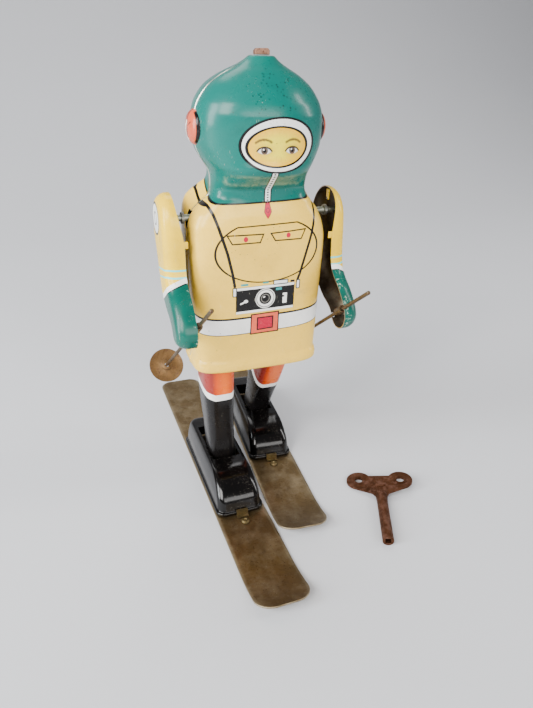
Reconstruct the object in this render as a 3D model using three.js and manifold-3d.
// Tin wind-up skier: a stamped tin figure on two skis, with its clockwork and its key.
// Millimetres. +Z is up, the figure looks along -Y, and its own right hand is at -X.
import * as THREE from 'three';
import { mergeVertices } from 'three/addons/utils/BufferGeometryUtils.js';
import Module from 'manifold-3d';

// ---------------------------------------------------------------- driving dimensions
const TIN = 0.7;                 // sheet thickness of the stampings
const GAP = 0.3;                 // clearance between pieces that touch
const RING_SIDES = 32;           // points round a body section
const TOP_Z = 216.4;             // top of the tab on the hood

const ROD_Y = 0.6;               // shoulder rod
const ROD_Z = 148.2;
const ROD_R = 1.5;
const ROD_HALF = 44.8;
const ARM_INNER_X = 36;          // open edge of an arm stamping
const ARM_DEPTH = 10;
const POLE_X = 35.4;             // ski pole
const POLE_R = 0.9;
const POLE_TOP = [-47.8, 123.9];
const POLE_END = [54.4, 44.1];
const BASKET_R = 10;
const BASKET_FROM_END = 3;

const LEG_X = 16.6;              // hip, guide and ankle
const GUIDE_Y = 11.8;
const GUIDE_Z = 82;
const GUIDE_PIN_R = 1.4;
const GUIDE_BUSH_R = 2.4;
const ANKLE_Z = 13;
const RIGHT_ANKLE_Y = 4.6;
const LEFT_ANKLE_Y = 43;
const LEG_TOP = 65;              // length of the tin leg above the ankle pin
const STRAP_TOP = 99;
const ANKLE_PIN_R = 1.2;

const CRANK_Y = 8.9;             // crankshaft
const CRANK_Z = 105;
const CRANK_R = 7;
const CRANK_ANGLE = 36;          // degrees of the right crank pin above the back of the circle
const SHAFT_R = 1.25;
const PLATE_X = 12.6;            // inner face of a motor plate
const PLATE_T = 0.8;

const ARBOR_R = 1.6;
const CROWN_TEETH = 32;
const CROWN_R = 11.45;
const PINION_TEETH = 8;
const PINION_R = CROWN_R * PINION_TEETH / CROWN_TEETH;
const CROWN_FACE_Y = 13.2;       // the crown wheel's teeth stand forward from here

const SHOE_LENGTH = 73.4;
const SHOE_FRONT = -40.4;        // from the ankle
const SHOE_HEIGHT = 18;
const SKI_WIDTH = 26.6;
const SKI_T = 0.8;
const SKI_FRONT = -102.8;        // from the ankle
const SKI_BACK = 102.4;
const LEFT_FOOT_X = 17.9;
const LEFT_FOOT_TOE_IN = 4.5;    // degrees

const KEY_AT = [64.5, -37.6];    // middle of the loose key's wings, over the floor
const KEY_TURN = 24.9;           // degrees from the figure's own forward direction
const KEY_TILT = 7;              // degrees, until the lower wing touches the floor
const KEY_T = 1.2;
const KEY_SHAFT_R = 2.9;
const KEY_LENGTH = 45.4;         // from the middle of the wings to the mouth of the socket

// ---------------------------------------------------------------- solids and booleans
const wasm = await Module();
wasm.setup();

function toSolid(geometry) {
  const bare = geometry.clone();
  bare.deleteAttribute('normal');
  bare.deleteAttribute('uv');
  const merged = mergeVertices(bare, 1e-4);
  return new wasm.Manifold(new wasm.Mesh({
    numProp: 3,
    vertProperties: new Float32Array(merged.attributes.position.array),
    triVerts: new Uint32Array(merged.index.array),
  }));
}

function toGeometry(solid) {
  const mesh = solid.getMesh();
  const geometry = new THREE.BufferGeometry();
  geometry.setAttribute('position', new THREE.BufferAttribute(new Float32Array(mesh.vertProperties), 3));
  geometry.setIndex(new THREE.BufferAttribute(new Uint32Array(mesh.triVerts), 1));
  return geometry;
}

function subtract(base, ...cutters) {
  let result = toSolid(base);
  for (const cutter of cutters) {
    result = result.subtract(toSolid(cutter));
  }
  return toGeometry(result);
}

function add(base, ...others) {
  let result = toSolid(base);
  for (const other of others) {
    result = result.add(toSolid(other));
  }
  return toGeometry(result);
}

function intersect(base, other) {
  return toGeometry(toSolid(base).intersect(toSolid(other)));
}

// ---------------------------------------------------------------- primitive helpers
function box(width, depth, height, x = 0, y = 0, z = 0) {
  return new THREE.BoxGeometry(width, depth, height).translate(x, y, z);
}

function boxBetween(low, high) {
  const size = high.map((value, i) => value - low[i]);
  const middle = high.map((value, i) => (value + low[i]) / 2);
  return box(...size, ...middle);
}

// A cylinder along an axis ('x', 'y' or 'z'), from one coordinate to another.
function rod(radius, axis, from, to, at, sides = 20) {
  const geometry = new THREE.CylinderGeometry(radius, radius, to - from, sides);
  const middle = (from + to) / 2;
  if (axis === 'x') {
    return geometry.rotateZ(Math.PI / 2).translate(middle, at[0], at[1]);
  }
  if (axis === 'y') {
    return geometry.translate(at[0], middle, at[1]);
  }
  return geometry.rotateX(Math.PI / 2).translate(at[0], at[1], middle);
}

function capTriangles(ring, start, followRing) {
  const spans = ['x', 'y', 'z'].map((axis) => {
    const values = ring.map((p) => p[axis]);
    return { axis, span: Math.max(...values) - Math.min(...values) };
  });
  spans.sort((a, b) => b.span - a.span);
  const [u, v] = [spans[0].axis, spans[1].axis];
  const flat = ring.map((p) => new THREE.Vector2(p[u], p[v]));
  const ringSign = Math.sign(THREE.ShapeUtils.area(flat));
  const triangles = [];
  for (const face of THREE.ShapeUtils.triangulateShape(flat, [])) {
    const sign = Math.sign(THREE.ShapeUtils.area(face.map((i) => flat[i])));
    const ordered = (sign === ringSign) === followRing ? face : [face[0], face[2], face[1]];
    triangles.push(...ordered.map((i) => start + i));
  }
  return triangles;
}

function signedVolume(positions, index) {
  let total = 0;
  const [a, b, c] = [new THREE.Vector3(), new THREE.Vector3(), new THREE.Vector3()];
  for (let i = 0; i < index.length; i += 3) {
    a.fromArray(positions, index[i] * 3);
    b.fromArray(positions, index[i + 1] * 3);
    c.fromArray(positions, index[i + 2] * 3);
    total += a.dot(b.cross(c));
  }
  return total;
}

// A closed skin over a row of rings with equal point counts. Open rows get flat caps.
function skin(rings, closedRow = false) {
  const count = rings[0].length;
  const positions = rings.flat().flatMap((p) => [p.x, p.y, p.z]);
  const index = [];
  const bands = closedRow ? rings.length : rings.length - 1;
  for (let band = 0; band < bands; band += 1) {
    const a = band * count;
    const b = ((band + 1) % rings.length) * count;
    for (let i = 0; i < count; i += 1) {
      const j = (i + 1) % count;
      index.push(a + i, a + j, b + j, a + i, b + j, b + i);
    }
  }
  if (!closedRow) {
    index.push(...capTriangles(rings[0], 0, false));
    index.push(...capTriangles(rings.at(-1), (rings.length - 1) * count, true));
  }
  if (signedVolume(positions, index) < 0) {
    for (let i = 0; i < index.length; i += 3) {
      [index[i + 1], index[i + 2]] = [index[i + 2], index[i + 1]];
    }
  }
  const geometry = new THREE.BufferGeometry();
  geometry.setAttribute('position', new THREE.Float32BufferAttribute(positions, 3));
  geometry.setIndex(index);
  return geometry;
}

function signedPower(value, power) {
  return Math.sign(value) * Math.abs(value) ** power;
}

// A rounded section in a level plane. Power 2 is an ellipse, larger values are boxier.
function section(halfWidth, front, back, frontPower, z, sides = RING_SIDES, backPower = frontPower) {
  return Array.from({ length: sides }, (_, i) => {
    const angle = 2 * Math.PI * (i + 0.5) / sides;
    const sine = Math.sin(angle);
    const depth = sine < 0 ? front : back;
    const power = sine < 0 ? frontPower : backPower;
    return new THREE.Vector3(
      halfWidth * signedPower(Math.cos(angle), 2 / power),
      depth * signedPower(sine, 2 / power),
      z,
    );
  });
}

// A plate in the Y-Z plane, from x = low to x = high, with an outline of [y, z] points.
function sidePlate(outline, low, high, holes = []) {
  const shape = new THREE.Shape(outline.map(([y, z]) => new THREE.Vector2(y, z)));
  const geometry = new THREE.ExtrudeGeometry(shape, { depth: high - low, bevelEnabled: false });
  // The shape's own x, y and depth become Y, Z and X.
  const turn = new THREE.Matrix4().makeBasis(
    new THREE.Vector3(0, 1, 0), new THREE.Vector3(0, 0, 1), new THREE.Vector3(1, 0, 0),
  );
  const plate = geometry.applyMatrix4(turn).translate(low, 0, 0);
  const bores = holes.map(([y, z, radius]) => rod(radius, 'x', low - 1, high + 1, [y, z], 16));
  return subtract(plate, ...bores);
}

// A spur wheel about the Z axis, between two heights.
function toothedDisc(teeth, tip, root, low, high) {
  const points = [];
  for (let i = 0; i < teeth; i += 1) {
    for (const [share, radius] of [[0, root], [0.3, root], [0.42, tip], [0.58, tip], [0.7, root]]) {
      const angle = 2 * Math.PI * (i + share - 0.5) / teeth;
      points.push(new THREE.Vector2(radius * Math.cos(angle), radius * Math.sin(angle)));
    }
  }
  const shape = new THREE.Shape(points);
  return new THREE.ExtrudeGeometry(shape, { depth: high - low, bevelEnabled: false }).translate(0, 0, low);
}

// ---------------------------------------------------------------- scene graph helpers
const robot = new THREE.Group();

function piece(name, geometry, look, parent = robot) {
  const material = new THREE.MeshStandardMaterial(look);
  const mesh = new THREE.Mesh(geometry, material);
  mesh.name = name;
  parent.add(mesh);
  return mesh;
}

function mirrored(geometry) {
  const copy = geometry.clone().scale(-1, 1, 1);
  const flipped = toTriangles(copy);
  return flipped;
}

function toTriangles(geometry) {
  const merged = geometry.index ? geometry : mergeVertices(geometry, 1e-4);
  const index = merged.index.array.slice();
  for (let i = 0; i < index.length; i += 3) {
    [index[i + 1], index[i + 2]] = [index[i + 2], index[i + 1]];
  }
  merged.setIndex(new THREE.BufferAttribute(index, 1));
  return merged;
}

const CREAM_TIN = { color: 0xe6cf9c, roughness: 0.35, metalness: 0.1 };
const TEAL_TIN = { color: 0x2f8f86, roughness: 0.3, metalness: 0.1 };
const ORANGE_TIN = { color: 0xdf7d4b, roughness: 0.35, metalness: 0.1 };
const SALMON_TIN = { color: 0xe08c68, roughness: 0.4, metalness: 0.1 };
const YELLOW_TIN = { color: 0xe8d684, roughness: 0.35, metalness: 0.1 };
const BLACK_TIN = { color: 0x17140f, roughness: 0.2, metalness: 0.1 };
const BRASS_SHEET = { color: 0x7d6c52, roughness: 0.45, metalness: 0.8 };
const BRIGHT_BRASS = { color: 0xb39a66, roughness: 0.35, metalness: 0.9 };
const STEEL = { color: 0x9a9c94, roughness: 0.35, metalness: 0.9 };
const BLUED_SPRING = { color: 0x3a3f4a, roughness: 0.3, metalness: 0.9 };
const COPPER = { color: 0xb98567, roughness: 0.4, metalness: 0.8 };
const RUSTED_IRON = { color: 0x6b4029, roughness: 0.7, metalness: 0.6 };

// ---------------------------------------------------------------- body shells
// Rows of [z, half width, front depth, back depth, front power, back power], from the hem to the crown.
const BODY_ROWS = [
  [75.0, 33.0, 16.0, 21.6, 4.4, 4.4],
  [76.6, 32.4, 15.4, 21.2, 4.4, 4.4],
  [90, 32.7, 15.4, 21.6, 4.4, 4.4],
  [112, 33.1, 15.3, 22.0, 4.4, 4.4],
  [134, 33.6, 15.2, 22.0, 4.4, 4.4],
  [145, 33.3, 15.0, 21.2, 4.2, 4.4],
  [150, 31.8, 14.6, 20.2, 4.0, 4.4],
  [153.5, 28.9, 13.9, 18.2, 3.8, 4.2],
  [156.2, 25.4, 13.2, 16.2, 3.4, 4.1],
  [158.5, 22.7, 13.0, 15.0, 3.0, 4.0],
  [161.6, 21.9, 13.1, 14.6, 2.8, 3.8],
  [164.2, 21.8, 15.4, 14.6, 2.7, 3.6],
  [167, 22.0, 18.3, 14.8, 2.5, 3.3],
  [169.6, 22.8, 20.8, 15.4, 2.35, 3.1],
  [171.6, 24.0, 21.4, 16.4, 2.3, 3.0],
  [175, 26.3, 20.8, 18.8, 2.15, 3.0],
  [180, 28.2, 20.3, 21.2, 2.1, 3.0],
  [186, 28.7, 20.5, 22.0, 2.05, 2.9],
  [191.5, 28.2, 20.7, 21.5, 2.05, 2.7],
  [195.6, 27.0, 19.6, 20.4, 2.05, 2.5],
  [199, 25.0, 17.7, 18.4, 2.05, 2.3],
  [202.4, 22.2, 15.2, 16.2, 2.05, 2.1],
  [205.6, 18.0, 12.2, 13.2, 2.05, 2.1],
  [208, 13.8, 9.8, 10.6, 2.05, 2.1],
  [209.6, 10.6, 8.0, 8.6, 2.05, 2.1],
  [211.6, 7.4, 6.2, 6.6, 2.05, 2.1],
  [213.4, 5.4, 4.7, 4.9, 2.05, 2.1],
];
const CROWN_Z = BODY_ROWS.at(-1)[0];

// How far the shoulders and neck of the back shell stand above those of the front shell.
function shoulderLift(y, z) {
  const into = THREE.MathUtils.smoothstep(y, 0, 11);
  const window = THREE.MathUtils.smoothstep(z, 134, 150) - THREE.MathUtils.smoothstep(z, 159, 176);
  return 5.2 * into * window;
}

function bodyRing([z, halfWidth, front, back, frontPower, backPower], level, inset) {
  return section(halfWidth - inset, front - inset, back - inset, frontPower, level, RING_SIDES, backPower)
    .map((p) => new THREE.Vector3(p.x, p.y, p.z + shoulderLift(p.y, z)));
}

function bodyShell() {
  const outer = BODY_ROWS.map((row) => bodyRing(row, row[0], 0));
  const inner = BODY_ROWS.map((row, i) => {
    const z = row[0];
    const crownDrop = TIN * Math.max(0, (z - 186) / (CROWN_Z - 186));
    return bodyRing(row, i === 0 ? z - 1 : z - crownDrop, TIN);
  });
  const armSlots = box(80, 4.2, 9.4, 0, ROD_Y, 147.3);
  const arborHole = rod(3, 'y', 15, 30, [0, CRANK_Z]);
  return subtract(skin(outer), skin(inner), armSlots, arborHole);
}

function addBody() {
  const shell = bodyShell();
  piece('front_shell', intersect(shell, boxBetween([-60, -60, 0], [60, 0, 260])), CREAM_TIN);
  piece('back_shell', intersect(shell, boxBetween([-60, GAP, 0], [60, 60, 260])), CREAM_TIN);
  const tabLow = CROWN_Z + GAP;
  const tab = box(6.4, 3.2, TOP_Z - tabLow, 0, 0.2, (TOP_Z + tabLow) / 2);
  piece('hood_tab', tab, COPPER);
  // Ear discs: shallow pressed covers over the side seams of the hood.
  for (const [side, name] of [[-1, 'right_ear_cover'], [1, 'left_ear_cover']]) {
    const rings = [[7.4, 30], [7.4, 30.5], [6.8, 31.1], [4.2, 31.5]].map(([radius, x]) => (
      Array.from({ length: 20 }, (_, i) => {
        const angle = 2 * Math.PI * i / 20;
        return new THREE.Vector3(side * x, 2.6 + radius * Math.cos(angle), 186 + radius * Math.sin(angle));
      })
    ));
    piece(name, skin(rings), SALMON_TIN);
  }
}

// ---------------------------------------------------------------- arms and poles
// Outline of an arm seen from the side, [y, z], from the back of the shoulder round to its front.
const ARM_OUTLINE = [
  [4, 158.6], [10, 157.2], [14.6, 153], [16, 147.5], [14.6, 139], [10.4, 129.5], [6.2, 120.5],
  [1.6, 112.4], [-6, 106.8], [-12.6, 104.2], [-16, 102], [-18.4, 98.6], [-22.6, 96.4], [-27.6, 97.4],
  [-30.4, 100.8], [-31, 105.2], [-28.2, 110.4], [-22, 116.4], [-15.4, 121], [-12, 126],
  [-10.6, 134], [-9.6, 143], [-7.6, 151], [-2.6, 156.8],
];

function insetOutline(outline, distance) {
  return outline.map((point, i) => {
    const before = outline[(i + outline.length - 1) % outline.length];
    const after = outline[(i + 1) % outline.length];
    const along = new THREE.Vector2(after[0] - before[0], after[1] - before[1]).normalize();
    return [point[0] + along.y * distance, point[1] - along.x * distance];
  });
}

function armShell() {
  const outerX = ARM_INNER_X + ARM_DEPTH;
  const ring = (inset, x) => insetOutline(ARM_OUTLINE, inset)
    .map(([y, z]) => new THREE.Vector3(x, y, z));
  const rings = [
    ring(4.4, outerX), ring(2.0, outerX - 0.9), ring(0.6, outerX - 3.2), ring(0, outerX - 6.2),
    ring(0, ARM_INNER_X),
    ring(TIN, ARM_INNER_X), ring(TIN, outerX - 6.2), ring(0.6 + TIN, outerX - 3.6),
    ring(2.2 + TIN, outerX - 1.7), ring(4.8, outerX - TIN),
  ];
  return skin(rings);
}

function poleFrame() {
  const [topY, topZ] = POLE_TOP;
  const [endY, endZ] = POLE_END;
  const length = Math.hypot(endY - topY, endZ - topZ);
  const slope = Math.atan2(endZ - topZ, endY - topY);
  return { topY, topZ, length, slope };
}

function addArms() {
  const arms = new THREE.Group();
  robot.add(arms);
  const rodShape = rod(ROD_R, 'x', -ROD_HALF, ROD_HALF, [ROD_Y, ROD_Z], 16);
  piece('shoulder_rod', rodShape, STEEL, arms);

  const lever = sidePlate(
    [[-3, 152], [4.2, 152], [4.6, 146], [16.6, 112], [15, 108.4], [11.4, 109.4], [-3.4, 146]],
    -15.85, -15.25, [[ROD_Y, ROD_Z, ROD_R + GAP], [12.9, 112.2, 1.6]],
  );
  piece('arm_lever', lever, STEEL, arms);

  for (const side of [-1, 1]) {
    const word = side < 0 ? 'right' : 'left';
    const collar = subtract(
      rod(2.6, 'x', 34.4, 35.6, [ROD_Y, ROD_Z], 16),
      rod(ROD_R + GAP, 'x', 34, 36, [ROD_Y, ROD_Z], 16),
    );
    // Fold-over tab on the front rim, and a notch where the pole crosses the open edge.
    const rimTab = box(3.6, 0.7, 3.6, 35.4, -9.7, 139);
    const { topY, topZ, length, slope } = poleFrame();
    const notch = rod(POLE_R + GAP, 'y', 0, length, [0, 0], 12)
      .rotateX(slope)
      .translate(POLE_X, topY, topZ);
    const shell = subtract(add(armShell(), rimTab), notch);
    const place = (geometry) => (side < 0 ? mirrored(geometry) : geometry);
    piece(`${word}_arm`, place(shell), YELLOW_TIN, arms);
    piece(`${word}_shoulder_collar`, place(collar), STEEL, arms);

    const poleGroup = new THREE.Group();
    poleGroup.position.set(side * POLE_X, topY, topZ);
    poleGroup.rotation.x = slope;
    arms.add(poleGroup);
    const pole = rod(POLE_R, 'y', 0, length, [0, 0], 12);
    piece(`${word}_ski_pole`, pole, COPPER, poleGroup);
    const basketY = length - BASKET_FROM_END;
    const profile = [
      [POLE_R + GAP, -1.4], [2.6, -1.2], [3.2, -0.4], [BASKET_R - 0.6, -0.4], [BASKET_R, -0.9],
      [BASKET_R + 0.1, 0.2], [3, 0.4], [POLE_R + GAP, 0.4], [POLE_R + GAP, -1.4],
    ].map(([r, y]) => new THREE.Vector2(r, y));
    const basket = new THREE.LatheGeometry(profile, 22).translate(0, basketY, 0);
    piece(`${word}_pole_basket`, basket, COPPER, poleGroup);
    // Hand clip: a folded strip that wraps the pole and reaches into the glove.
    const clipY = 30;
    const wrap = subtract(
      rod(POLE_R + GAP + 0.7, 'y', clipY - 3, clipY + 3, [0, 0], 16),
      rod(POLE_R + GAP, 'y', clipY - 4, clipY + 4, [0, 0], 16),
    );
    const reach = subtract(
      box(5.4, 4.4, 0.7, side * 3.4, clipY, 0),
      rod(POLE_R + GAP + 0.3, 'y', clipY - 4, clipY + 4, [0, 0], 16),
    );
    piece(`${word}_pole_clip`, add(wrap, reach), COPPER, poleGroup);
  }
}

// ---------------------------------------------------------------- legs
// Rows of [distance above the ankle, half width, front depth, back depth].
const LEG_ROWS = [
  [-2.6, 6.9, 9.4, 4.4],
  [12, 7.0, 9.8, 4.8],
  [26, 7.3, 10.8, 5.4],
  [36, 7.7, 12.2, 5.4],
  [50, 8.1, 13.3, 5.2],
  [LEG_TOP, 8.3, 13.9, 4.8],
];

const LEG_POWER = 4.2;

function legShell() {
  const outer = LEG_ROWS.map(([s, w, f, b]) => section(w, f, b, LEG_POWER, s, 24));
  const inner = LEG_ROWS.map(([s, w, f, b]) => (
    section(w - TIN, f - TIN, b - TIN, LEG_POWER, s, 24)
  )).reverse();
  const pinHole = rod(ANKLE_PIN_R + GAP, 'x', -10, 10, [0, 0], 12);
  return subtract(skin([...outer, ...inner], true), pinHole);
}

function addLeg(word, x, ankleX, ankleY) {
  // The leg's own Z runs from the ankle pin to the guide pin.
  const rise = Math.hypot(GUIDE_Y - ankleY, GUIDE_Z - ANKLE_Z);
  const leg = new THREE.Group();
  leg.position.set(ankleX, ankleY, ANKLE_Z);
  leg.rotation.x = -Math.atan2(GUIDE_Y - ankleY, GUIDE_Z - ANKLE_Z);
  leg.rotation.y = Math.atan2(x - ankleX, rise);
  robot.add(leg);
  piece(`${word}_leg`, legShell(), ORANGE_TIN, leg);
  const slotMiddle = word === 'right' ? 72.6 : 72.4;
  const strapHalf = 3.6;
  const outline = [
    [-strapHalf + 0.6, -2.4], [strapHalf - 0.6, -2.4], [strapHalf, 65.8], [4.6, 68], [4.6, 79],
    [strapHalf, 84], [strapHalf, STRAP_TOP], [-strapHalf, STRAP_TOP], [-strapHalf, 84],
    [-4.6, 79], [-4.6, 68], [-strapHalf, 65.8],
  ];
  const strap = sidePlate(outline, -0.5, 0.5, [[0, 0, ANKLE_PIN_R + GAP]]);
  const slotWidth = 2 * (GUIDE_BUSH_R + GAP);
  const slot = add(
    box(4, slotWidth, 7.2, 0, 0, slotMiddle),
    rod(slotWidth / 2, 'x', -2, 2, [0, slotMiddle - 3.6], 20),
    rod(slotWidth / 2, 'x', -2, 2, [0, slotMiddle + 3.6], 20),
  );
  piece(`${word}_drive_strap`, subtract(strap, slot), STEEL, leg);
  piece(`${word}_ankle_pin`, rod(ANKLE_PIN_R, 'x', -9.6, 9.6, [0, 0], 12), STEEL, leg);
  const bush = subtract(
    rod(GUIDE_BUSH_R, 'x', -1.4, 1.4, [0, 0], 20),
    rod(GUIDE_PIN_R + 0.1, 'x', -2, 2, [0, 0], 16),
  );
  piece(`${word}_guide_bush`, bush.translate(x, GUIDE_Y, GUIDE_Z), BRIGHT_BRASS);
}

function addLegs() {
  addLeg('right', -LEG_X, -LEG_X, RIGHT_ANKLE_Y);
  addLeg('left', LEG_X, LEFT_FOOT_X, LEFT_ANKLE_Y);
}

// ---------------------------------------------------------------- shoes and skis
// Level sections of the shoe: [z, half width, toe set back, heel set back].
const SHOE_ROWS = [
  [SKI_T + GAP, 12.7, 0, 0],
  [3.0, 12.7, 0, 0],
  [3.4, 11.9, 1.0, 1.2],
  [8.6, 11.5, 2.8, 1.8],
  [12.6, 11.0, 6.4, 2.4],
  [15.6, 10.5, 11.0, 3.2],
  [17.4, 9.9, 16.2, 4.4],
  [SHOE_HEIGHT, 9.1, 21, 6.4],
];
const SHOE_CORNER = 5;

function shoeSection([z, halfWidth, toe, heel], inset) {
  const front = SHOE_FRONT + toe + inset;
  const back = SHOE_FRONT + SHOE_LENGTH - heel - inset;
  const radius = SHOE_CORNER - inset;
  const cornerX = halfWidth - inset - radius;
  const steps = 6;
  return [0, 1, 2, 3].flatMap((corner) => Array.from({ length: steps + 1 }, (_, i) => {
    const angle = Math.PI / 2 * (corner + i / steps);
    const x = corner === 0 || corner === 3 ? cornerX : -cornerX;
    const y = corner < 2 ? back - radius : front + radius;
    return new THREE.Vector3(x + radius * Math.cos(angle), y + radius * Math.sin(angle), z);
  }));
}

function shoeShell() {
  const outer = SHOE_ROWS.map((row) => shoeSection(row, 0));
  const inner = SHOE_ROWS.map((row, i) => {
    const level = i === 0 ? row[0] - 1 : row[0] - TIN;
    return shoeSection([level, ...row.slice(1)], TIN);
  });
  const legOpening = boxBetween([-7.6, -13.4, 8], [7.6, 18, 30]);
  return subtract(skin(outer), skin(inner), legOpening);
}

function skiBlade() {
  const tipStart = SKI_FRONT + 26;
  const tipRise = 5.4;
  const upper = [];
  const lower = [];
  const steps = 6;
  for (let i = 0; i <= steps; i += 1) {
    const share = i / steps;
    const y = tipStart + (SKI_FRONT - tipStart) * share;
    const z = tipRise * share ** 1.9;
    upper.push([y, z + SKI_T]);
    lower.push([y, z]);
  }
  const outline = [[SKI_BACK, SKI_T], ...upper, ...lower.reverse(), [SKI_BACK, 0]];
  const blade = sidePlate(outline, -SKI_WIDTH / 2, SKI_WIDTH / 2);
  const plan = new THREE.Shape();
  const half = SKI_WIDTH / 2;
  const tipRound = 9;
  const tailRound = 7;
  plan.moveTo(-half, SKI_FRONT + tipRound);
  plan.quadraticCurveTo(-half, SKI_FRONT + 0.8, -half + tipRound, SKI_FRONT + 0.3);
  plan.quadraticCurveTo(0, SKI_FRONT - 1, half - tipRound, SKI_FRONT + 0.3);
  plan.quadraticCurveTo(half, SKI_FRONT + 0.8, half, SKI_FRONT + tipRound);
  plan.lineTo(half, SKI_BACK - tailRound);
  plan.quadraticCurveTo(half, SKI_BACK, half - tailRound, SKI_BACK);
  plan.lineTo(-half + tailRound, SKI_BACK);
  plan.quadraticCurveTo(-half, SKI_BACK, -half, SKI_BACK - tailRound);
  const column = new THREE.ExtrudeGeometry(plan, { depth: 30, bevelEnabled: false, curveSegments: 5 });
  return intersect(blade, column.translate(0, 0, -10));
}

function addFoot(word, x, y, toeIn) {
  const foot = new THREE.Group();
  foot.position.set(x, y, 0);
  foot.rotation.z = toeIn;
  robot.add(foot);
  piece(`${word}_shoe`, shoeShell(), BLACK_TIN, foot);
  piece(`${word}_ski`, skiBlade(), BRASS_SHEET, foot);

  // Tongue of brass folded over the shoe's flange, and the rivet in front of it.
  const flangeTop = 3.4;
  const tongueFront = SHOE_FRONT - GAP;
  const tongue = add(
    boxBetween([-3, tongueFront - 2.6, SKI_T + GAP], [3, tongueFront, SKI_T + GAP + 0.7]),
    boxBetween([-3, tongueFront - 0.7, SKI_T + GAP], [3, tongueFront, flangeTop + 0.7]),
    boxBetween([-3, tongueFront - 0.7, flangeTop], [3, tongueFront + 0.8, flangeTop + 0.7]),
  );
  piece(`${word}_ski_tongue`, tongue, BRIGHT_BRASS, foot);
  const rivetProfile = [[0, 0], [2.2, 0], [2.1, 0.5], [1.5, 0.95], [0.8, 1.1], [0.5, 0.8], [0, 0.7]]
    .map(([r, h]) => new THREE.Vector2(r, h));
  const rivet = new THREE.LatheGeometry(rivetProfile, 14).rotateX(Math.PI / 2)
    .translate(0, SHOE_FRONT - 5.6, SKI_T + GAP);
  piece(`${word}_ski_rivet`, rivet, BRIGHT_BRASS, foot);

  // Bracket inside the shoe that carries the ankle pin.
  const bracketFloor = boxBetween([-8.6, -7, SKI_T + GAP], [8.6, 7, SKI_T + GAP + 1]);
  const ears = [-1, 1].map((side) => boxBetween(
    [side * 8.1 - 0.5, -3.4, SKI_T + GAP], [side * 8.1 + 0.5, 3.4, ANKLE_Z + 2.6],
  ));
  const bore = rod(ANKLE_PIN_R + GAP, 'x', -12, 12, [0, ANKLE_Z], 12);
  const bracket = subtract(add(bracketFloor, ...ears), bore).rotateZ(-toeIn);
  piece(`${word}_ankle_bracket`, bracket, STEEL, foot);
}

function addFeet() {
  addFoot('right', -LEG_X, RIGHT_ANKLE_Y, 0);
  addFoot('left', LEFT_FOOT_X, LEFT_ANKLE_Y, -THREE.MathUtils.degToRad(LEFT_FOOT_TOE_IN));
}

// ---------------------------------------------------------------- clockwork
function addFrame() {
  const outline = [
    [-6, 92], [7.6, 90], [7.6, 79.4], [16, 79.4], [16, 90], [19.6, 94], [19.6, 141], [-6, 141],
  ];
  const pillars = { upper_front: [-3.6, 138], upper_rear: [17, 138], lower_front: [-3, 95] };
  const pillarHoles = Object.values(pillars).map(([y, z]) => [y, z, 1.1]);
  for (const [side, word] of [[-1, 'right'], [1, 'left']]) {
    const [low, high] = side < 0 ? [-PLATE_X - PLATE_T, -PLATE_X] : [PLATE_X, PLATE_X + PLATE_T];
    const plate = sidePlate(outline, low, high, [
      [CRANK_Y, CRANK_Z, SHAFT_R + 0.15], [GUIDE_Y, GUIDE_Z, GUIDE_PIN_R + 0.1], ...pillarHoles,
    ]);
    piece(`${word}_motor_plate`, plate, STEEL);
  }
  for (const [name, [y, z]] of Object.entries(pillars)) {
    const pillar = add(
      rod(1.9, 'x', -PLATE_X + GAP, PLATE_X - GAP, [y, z], 14),
      rod(0.8, 'x', -PLATE_X - PLATE_T - 0.8, PLATE_X + PLATE_T + 0.8, [y, z], 14),
    );
    piece(`${name}_pillar`, pillar, STEEL);
  }
  const bridgeHalf = PLATE_X - GAP;
  const bridge = (low, high) => subtract(
    boxBetween([-bridgeHalf, low, 95.5], [bridgeHalf, high, 115]),
    rod(ARBOR_R + 0.15, 'y', low - 1, high + 1, [0, CRANK_Z], 16),
  );
  piece('inner_bridge', bridge(14.9, 15.6), STEEL);
  piece('rear_bridge', bridge(18.7, 19.4), STEEL);
  const governorBridge = (low, high) => subtract(
    boxBetween([-bridgeHalf, 5.2, low], [bridgeHalf, 10.8, high]),
    rod(1.15, 'z', low - 1, high + 1, [0, CRANK_Y], 14),
  );
  piece('lower_governor_bridge', governorBridge(112.4, 113.1), STEEL);
  piece('upper_governor_bridge', governorBridge(136.4, 137.1), STEEL);
  // Hanger plate that ties the movement to both sides of the body.
  const hanger = boxBetween([-31.4, 7, 141.3], [31.4, 13, 142.1]);
  piece('hanger_plate', hanger, STEEL);
  piece('guide_pin', rod(GUIDE_PIN_R, 'x', -24, 24, [GUIDE_Y, GUIDE_Z], 14), STEEL);
}

function crownWheel() {
  const outerRadius = CROWN_R + 0.75;
  const innerRadius = CROWN_R - 0.75;
  const disc = rod(outerRadius, 'y', CROWN_FACE_Y, CROWN_FACE_Y + 0.9, [0, CRANK_Z], 48);
  let wheel = toSolid(disc);
  for (let i = 0; i < CROWN_TEETH; i += 1) {
    // Teeth start half a pitch away from the pinion's tooth on the crankshaft.
    const angle = 2 * Math.PI * (i + 0.5) / CROWN_TEETH;
    const tooth = box(outerRadius - innerRadius, 2.3, 0.8, CROWN_R, CROWN_FACE_Y - 0.85, 0)
      .rotateY(-angle)
      .translate(0, 0, CRANK_Z);
    wheel = wheel.add(toSolid(tooth));
  }
  wheel = wheel.subtract(toSolid(rod(ARBOR_R + 0.2, 'y', 10, 16, [0, CRANK_Z], 16)));
  return toGeometry(wheel);
}

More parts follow.
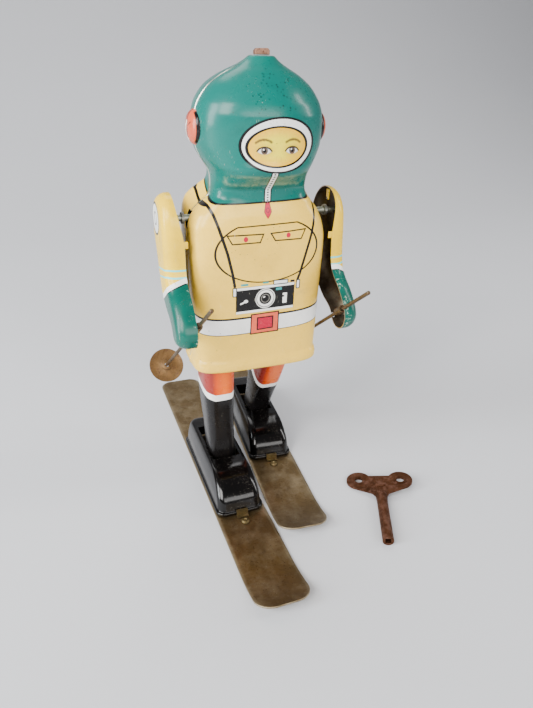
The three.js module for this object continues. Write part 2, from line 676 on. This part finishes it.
function mainSpring() {
  const turns = 5;
  const steps = turns * 12;
  const innerRadius = 2.6;
  const outerRadius = 10.4;
  const sheet = 0.35;
  const edge = [];
  const back = [];
  for (let i = 0; i <= steps; i += 1) {
    const angle = 2 * Math.PI * turns * i / steps;
    const radius = innerRadius + (outerRadius - innerRadius) * i / steps;
    edge.push(new THREE.Vector2(radius * Math.cos(angle), radius * Math.sin(angle)));
    back.push(new THREE.Vector2((radius + sheet) * Math.cos(angle), (radius + sheet) * Math.sin(angle)));
  }
  const shape = new THREE.Shape([...edge, ...back.reverse()]);
  const strip = new THREE.ExtrudeGeometry(shape, { depth: 2.3, bevelEnabled: false });
  return strip.rotateX(Math.PI / 2).translate(0, 18.4, CRANK_Z);
}

function addMovement() {
  const shaftEnd = PLATE_X + PLATE_T + GAP;
  const pinion = toothedDisc(PINION_TEETH, PINION_R + 0.75, PINION_R - 1.0, 10.0, 12.3)
    .rotateY(Math.PI / 2)
    .translate(0, CRANK_Y, CRANK_Z);
  const shaft = rod(SHAFT_R, 'x', -shaftEnd - 0.5, shaftEnd + 0.5, [CRANK_Y, CRANK_Z], 14);
  let crank = toSolid(shaft).add(toSolid(pinion));
  for (const side of [-1, 1]) {
    const angle = THREE.MathUtils.degToRad(side < 0 ? CRANK_ANGLE : CRANK_ANGLE + 180);
    const pinAt = [CRANK_Y + CRANK_R * Math.cos(angle), CRANK_Z + CRANK_R * Math.sin(angle)];
    const [discLow, discHigh] = side < 0 ? [-shaftEnd - 0.9, -shaftEnd] : [shaftEnd, shaftEnd + 0.9];
    const [pinLow, pinHigh] = side < 0 ? [discLow - 0.3, discLow + 0.3] : [discHigh - 0.3, discHigh + 0.8];
    crank = crank.add(toSolid(rod(9, 'x', discLow, discHigh, [CRANK_Y, CRANK_Z], 28)));
    crank = crank.add(toSolid(rod(1.3, 'x', pinLow, pinHigh, pinAt, 12)));
  }
  piece('crankshaft', toGeometry(crank), STEEL);
  piece('crown_wheel', crownWheel(), BRIGHT_BRASS);

  const arbor = add(
    rod(ARBOR_R, 'y', 12.2, 24, [0, CRANK_Z], 16),
    box(2.4, 6, 2.4, 0, 26.8, CRANK_Z),
  );
  const ratchet = toothedDisc(12, 4.6, 3.5, 0, 0.8).rotateX(Math.PI / 2).translate(0, 20.6, CRANK_Z);
  piece('winding_arbor', add(arbor, ratchet), STEEL);
  piece('mainspring', mainSpring(), BLUED_SPRING);
  const click = add(
    rod(1.2, 'y', 19.7, 20.6, [7.4, CRANK_Z + 3], 12),
    box(1.2, 0.7, 3.4, 7.4, 20.2, CRANK_Z + 1.2),
  );
  piece('ratchet_click', click, STEEL);

  const governorPinion = toothedDisc(PINION_TEETH, PINION_R + 0.75, PINION_R - 1.0, 114.6, 118.4)
    .rotateZ(Math.PI / 2)
    .translate(0, CRANK_Y, 0);
  const spindle = add(rod(0.95, 'z', 111.8, 138, [0, CRANK_Y], 12), governorPinion);
  piece('governor_spindle', spindle, STEEL);
  const fly = subtract(
    boxBetween([-9.4, CRANK_Y - 1.6, 121], [9.4, CRANK_Y + 1.6, 133]),
    boxBetween([-20, CRANK_Y - 3, 120], [20, CRANK_Y - 0.35, 134]),
    boxBetween([-20, CRANK_Y + 0.35, 120], [-2.2, CRANK_Y + 3, 134]),
    boxBetween([2.2, CRANK_Y + 0.35, 120], [20, CRANK_Y + 3, 134]),
  );
  const sleeve = rod(2.0, 'z', 121, 133, [0, CRANK_Y], 16);
  const bore = rod(0.95 + GAP, 'z', 118, 136, [0, CRANK_Y], 12);
  const vane = boxBetween([-9.4, CRANK_Y - 0.35, 121], [9.4, CRANK_Y + 0.35, 133]);
  piece('governor_fly', subtract(add(vane, sleeve), bore), BRIGHT_BRASS);
}

// ---------------------------------------------------------------- winding key
function windingKey() {
  const lobeX = 11.5;
  const lobeR = 6.8;
  // Two round wings joined by a straight bar, with a web tapering down to the shaft.
  const bar = new THREE.Shape([
    [-lobeX, 3.6], [lobeX, 3.6], [lobeX + 3.6, -5.8], [4.6, -10.4], [3.2, -12.6], [2.9, -16],
    [-2.9, -16], [-3.2, -12.6], [-4.6, -10.4], [-lobeX - 3.6, -5.8],
  ].map(([x, y]) => new THREE.Vector2(x, y)));
  const half = KEY_T / 2;
  const web = new THREE.ExtrudeGeometry(bar, { depth: KEY_T, bevelEnabled: false }).translate(0, 0, -half);
  const lobes = [-1, 1].map((side) => rod(lobeR, 'z', -half, half, [side * lobeX, 0], 28));
  const rims = [-1, 1].map((side) => rod(3.4, 'z', -half - 0.3, half + 0.3, [side * lobeX, 0], 22));
  const eyes = [-1, 1].map((side) => rod(2.3, 'z', -3, 3, [side * lobeX, 0], 20));
  const boss = rod(3.4, 'z', -half - 0.3, half + 0.3, [0, -2.6], 20);
  const shaft = rod(KEY_SHAFT_R, 'y', -KEY_LENGTH, -11.6, [0, 0], 20);
  const socket = box(2.9, 12, 2.9, 0, -KEY_LENGTH + 4.8, 0);
  const whole = add(web, ...lobes, ...rims, boss, shaft);
  return subtract(whole, socket, ...eyes);
}

function addKey() {
  const key = new THREE.Group();
  key.position.set(KEY_AT[0], KEY_AT[1], KEY_SHAFT_R);
  key.rotation.order = 'ZYX';
  key.rotation.z = -THREE.MathUtils.degToRad(KEY_TURN);
  key.rotation.y = -THREE.MathUtils.degToRad(KEY_TILT);
  robot.add(key);
  piece('winding_key', windingKey(), RUSTED_IRON, key);
}

// ---------------------------------------------------------------- assembly
addBody();
addArms();
addLegs();
addFeet();
addFrame();
addMovement();
addKey();

// The origin goes to the middle of the bounding box's base, on the floor.
robot.updateMatrixWorld(true);
const bounds = new THREE.Box3().setFromObject(robot, true);
const middle = bounds.getCenter(new THREE.Vector3());
robot.position.set(-middle.x, -middle.y, -bounds.min.z);

export default robot;
